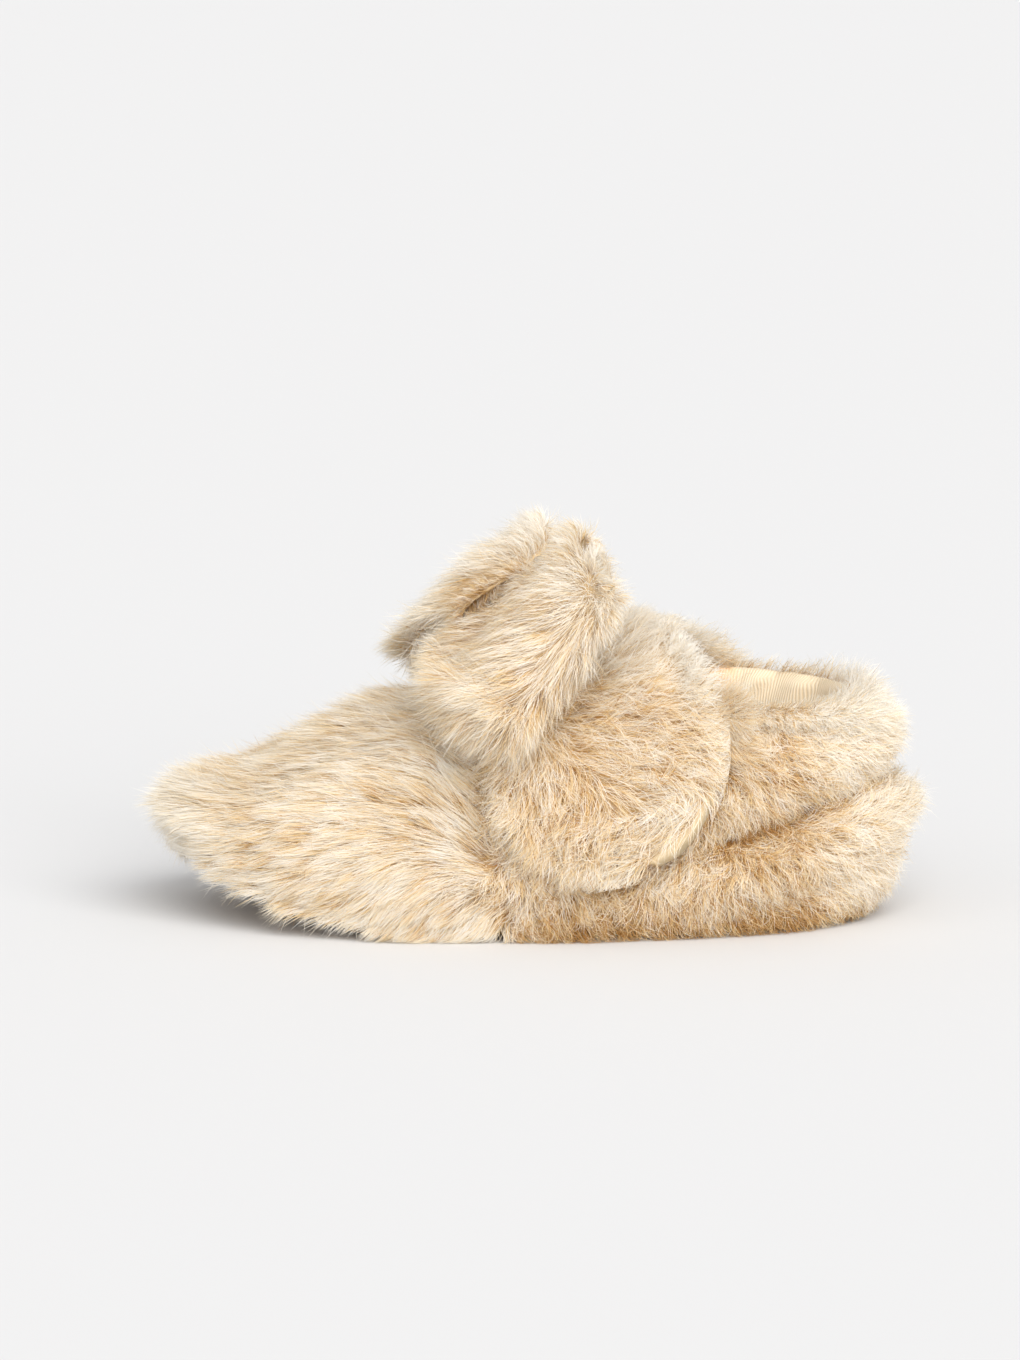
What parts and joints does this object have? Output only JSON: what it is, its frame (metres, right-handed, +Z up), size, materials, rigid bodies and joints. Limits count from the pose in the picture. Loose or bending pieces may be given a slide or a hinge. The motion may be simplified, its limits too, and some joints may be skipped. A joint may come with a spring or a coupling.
{
  "type": "pre-walker shoe",
  "caption": "Soft baby slipper for the left foot in cream deep-pile fabric, with a wide strap, a pile bow on the instep, a soft sole and a knit lining.",
  "frame": {"origin": "on the floor, under the middle of the whole shoe", "axes": "+X from toe to heel, +Y towards the inner side of the foot, +Z up"},
  "size_m": [0.1316, 0.0746, 0.0677],
  "materials": {
    "pile": "matte",
    "lining": "matte",
    "sole": "matte"
  },
  "bodies": {
    "root": {"outsole": "sole", "insole": "lining", "upper": "pile", "strap": "pile", "bow_loops": "pile", "bow_knot": "pile"}
  },
  "joints": []
}
